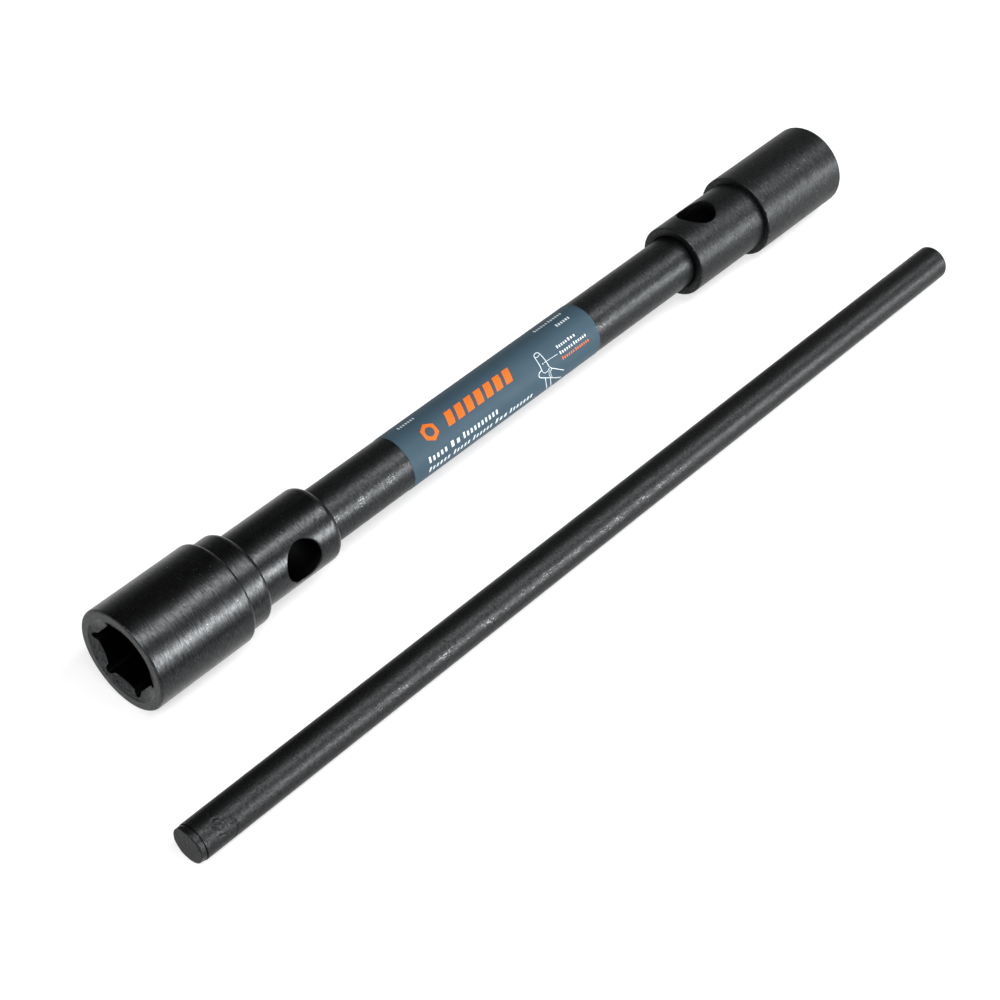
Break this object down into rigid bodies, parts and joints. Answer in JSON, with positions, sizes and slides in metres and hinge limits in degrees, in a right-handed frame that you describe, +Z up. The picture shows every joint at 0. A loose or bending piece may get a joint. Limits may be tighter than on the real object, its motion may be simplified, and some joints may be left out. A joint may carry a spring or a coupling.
{
  "type": "lug wrench",
  "caption": "Heavy double-ended hex socket wheel nut wrench with a cross-drilled hub behind each socket, a film-wrapped round shank and a loose round tommy bar.",
  "frame": {"origin": "on the bench, under the middle of the whole object's box", "axes": "+X along the wrench from its large socket towards its small one, +Z up from the bench, and the loose tommy bar lies on the -Y side"},
  "size_m": [0.56, 0.1315, 0.0544],
  "materials": {
    "head_steel": "black oxide over fine turning lines",
    "shank_steel": "black oxide over a rolled, scaly surface",
    "bar_steel": "black oxide over drawn bar",
    "label_film": "satin printed film"
  },
  "bodies": {
    "wrench": {"large_socket_head": "head_steel", "shank": "shank_steel", "small_socket_head": "head_steel", "wrap_label": "label_film"},
    "tommy_bar": {"tommy_bar": "bar_steel"}
  },
  "joints": [
    {"name": "bar_slide", "type": "slide", "parent": "wrench", "child": "tommy_bar", "axis": [0.9999, -0.014, 0], "range_m": [-0.25, 0.25]}
  ]
}
